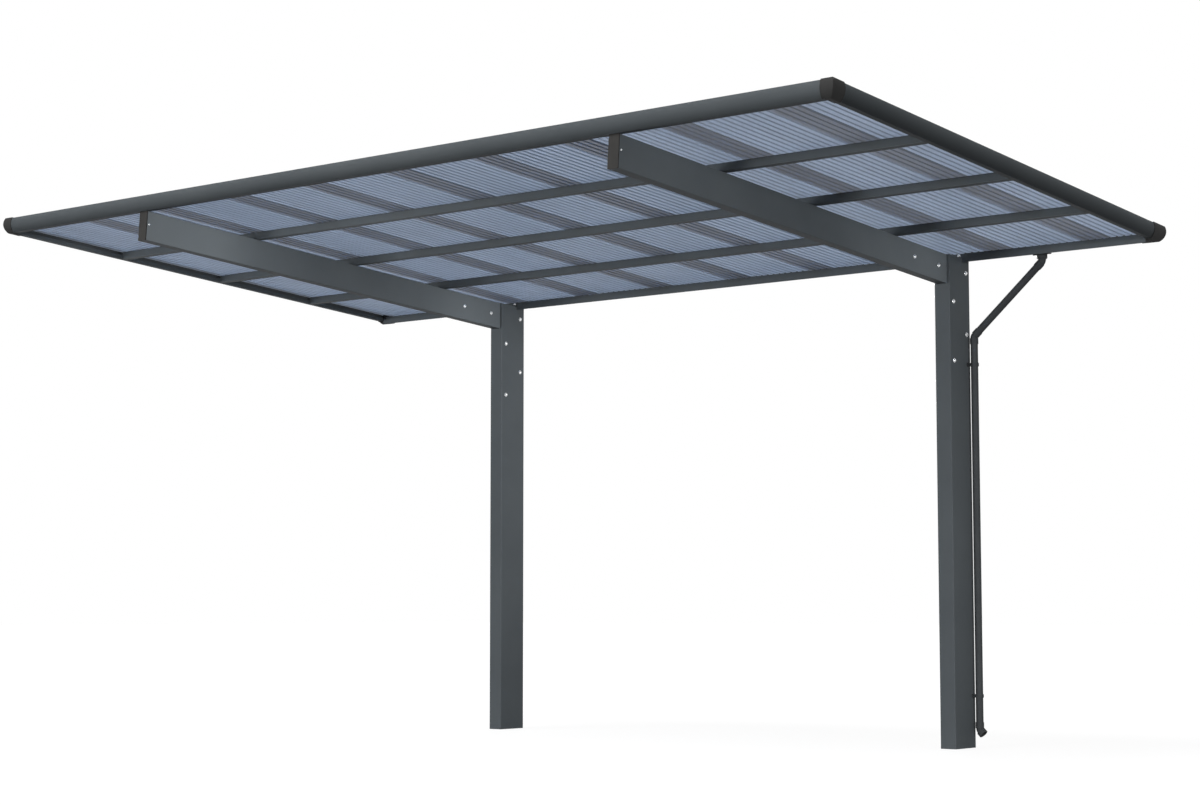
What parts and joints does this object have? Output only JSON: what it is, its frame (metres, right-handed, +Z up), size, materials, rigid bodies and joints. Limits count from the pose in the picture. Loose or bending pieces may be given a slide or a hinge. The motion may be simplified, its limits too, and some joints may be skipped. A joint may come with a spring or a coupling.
{
  "type": "carport",
  "caption": "Cantilever carport: rear posts and forward beams hold up a gently sloping translucent roof with rounded edges, a rear gutter and a downpipe.",
  "frame": {"origin": "middle of the right post's foot, on the ground", "axes": "+X along the roof to the right, seen from the open front; +Y from the free front edge to the gutter; +Z up"},
  "size_m": [5, 2.8059, 2.6381],
  "materials": {
    "frame": "satin anthracite powder coat",
    "corner_cap": "matte black",
    "beam_end": "matte dark grey",
    "sheet": "smoke-tinted translucent polycarbonate",
    "pipe": "matte anthracite",
    "bolt": "zinc-plated"
  },
  "bodies": {
    "root": {"right_post": "frame", "left_post": "frame", "right_beam": "frame", "left_beam": "frame", "front_purlin": "frame", "middle_purlin": "frame", "rear_purlin": "frame", "front_edge": "frame", "right_edge": "frame", "left_edge": "frame", "gutter": "frame", "front_right_cap": "corner_cap", "front_left_cap": "corner_cap", "rear_right_cap": "corner_cap", "rear_left_cap": "corner_cap", "right_beam_cap": "beam_end", "left_beam_cap": "beam_end", "roof_sheet_1": "sheet", "roof_sheet_2": "sheet", "roof_sheet_3": "sheet", "roof_sheet_4": "sheet", "roof_sheet_5": "sheet", "roof_sheet_6": "sheet", "roof_sheet_7": "sheet", "roof_sheet_8": "sheet", "roof_sheet_9": "sheet", "roof_sheet_10": "sheet", "gutter_outlet": "pipe", "upper_bend": "pipe", "slanted_pipe": "pipe", "lower_bend": "pipe", "downpipe": "pipe", "upper_clip": "pipe", "lower_clip": "pipe", "drain_shoe": "pipe"}
  },
  "joints": []
}
